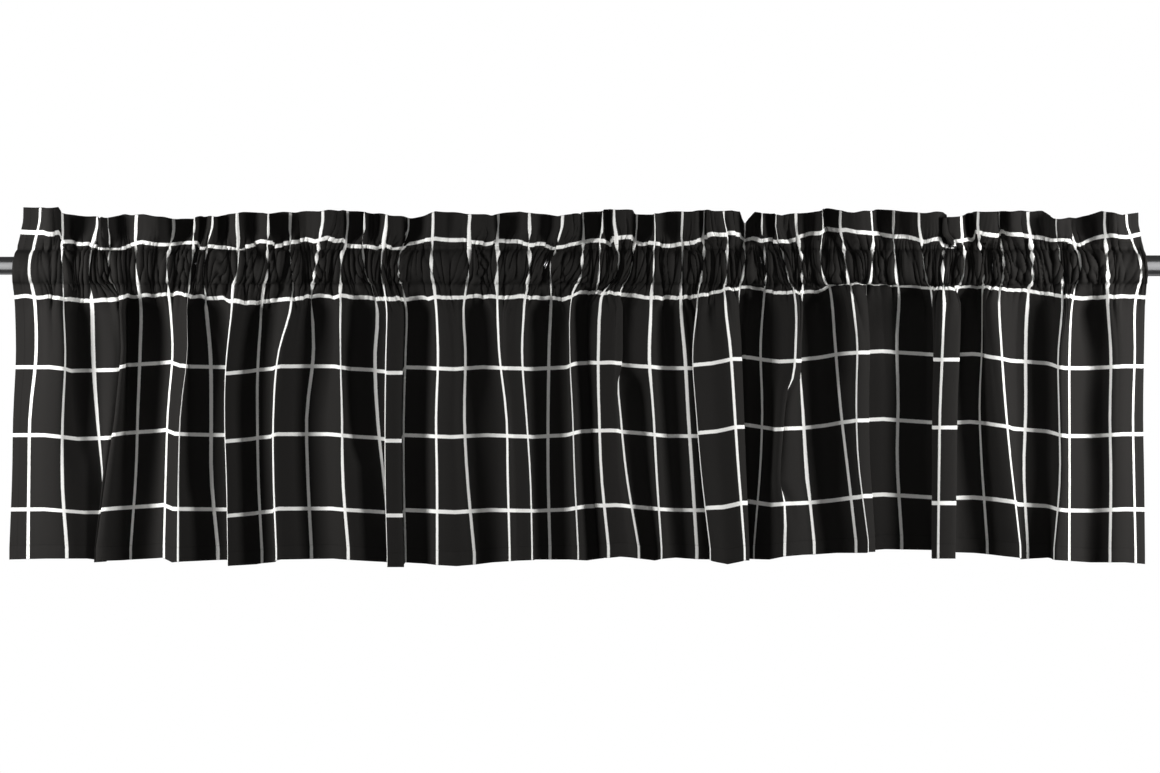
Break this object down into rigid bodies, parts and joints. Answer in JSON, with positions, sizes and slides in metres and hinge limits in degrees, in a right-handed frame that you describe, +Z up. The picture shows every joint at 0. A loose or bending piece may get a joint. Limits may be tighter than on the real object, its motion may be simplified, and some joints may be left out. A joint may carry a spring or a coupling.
{
  "type": "rod-pocket window valance on curtain rod",
  "caption": "Rod-pocket window valance of black cotton with a white windowpane check, gathered on a plain steel telescopic curtain rod, with a frilled heading and softly folded skirt.",
  "frame": {"origin": "centre of the rod's left end face", "axes": "+X along the rod to its right end, -Y towards the room (the front of the cloth), +Z up"},
  "size_m": [1.272, 0.0446, 0.3772],
  "materials": {
    "cloth": "matt woven cotton, black with a thin white windowpane check",
    "rod": "satin grey steel tube"
  },
  "bodies": {
    "root": {"valance": "cloth", "rod_wide_tube": "rod", "rod_narrow_tube": "rod"}
  },
  "joints": []
}
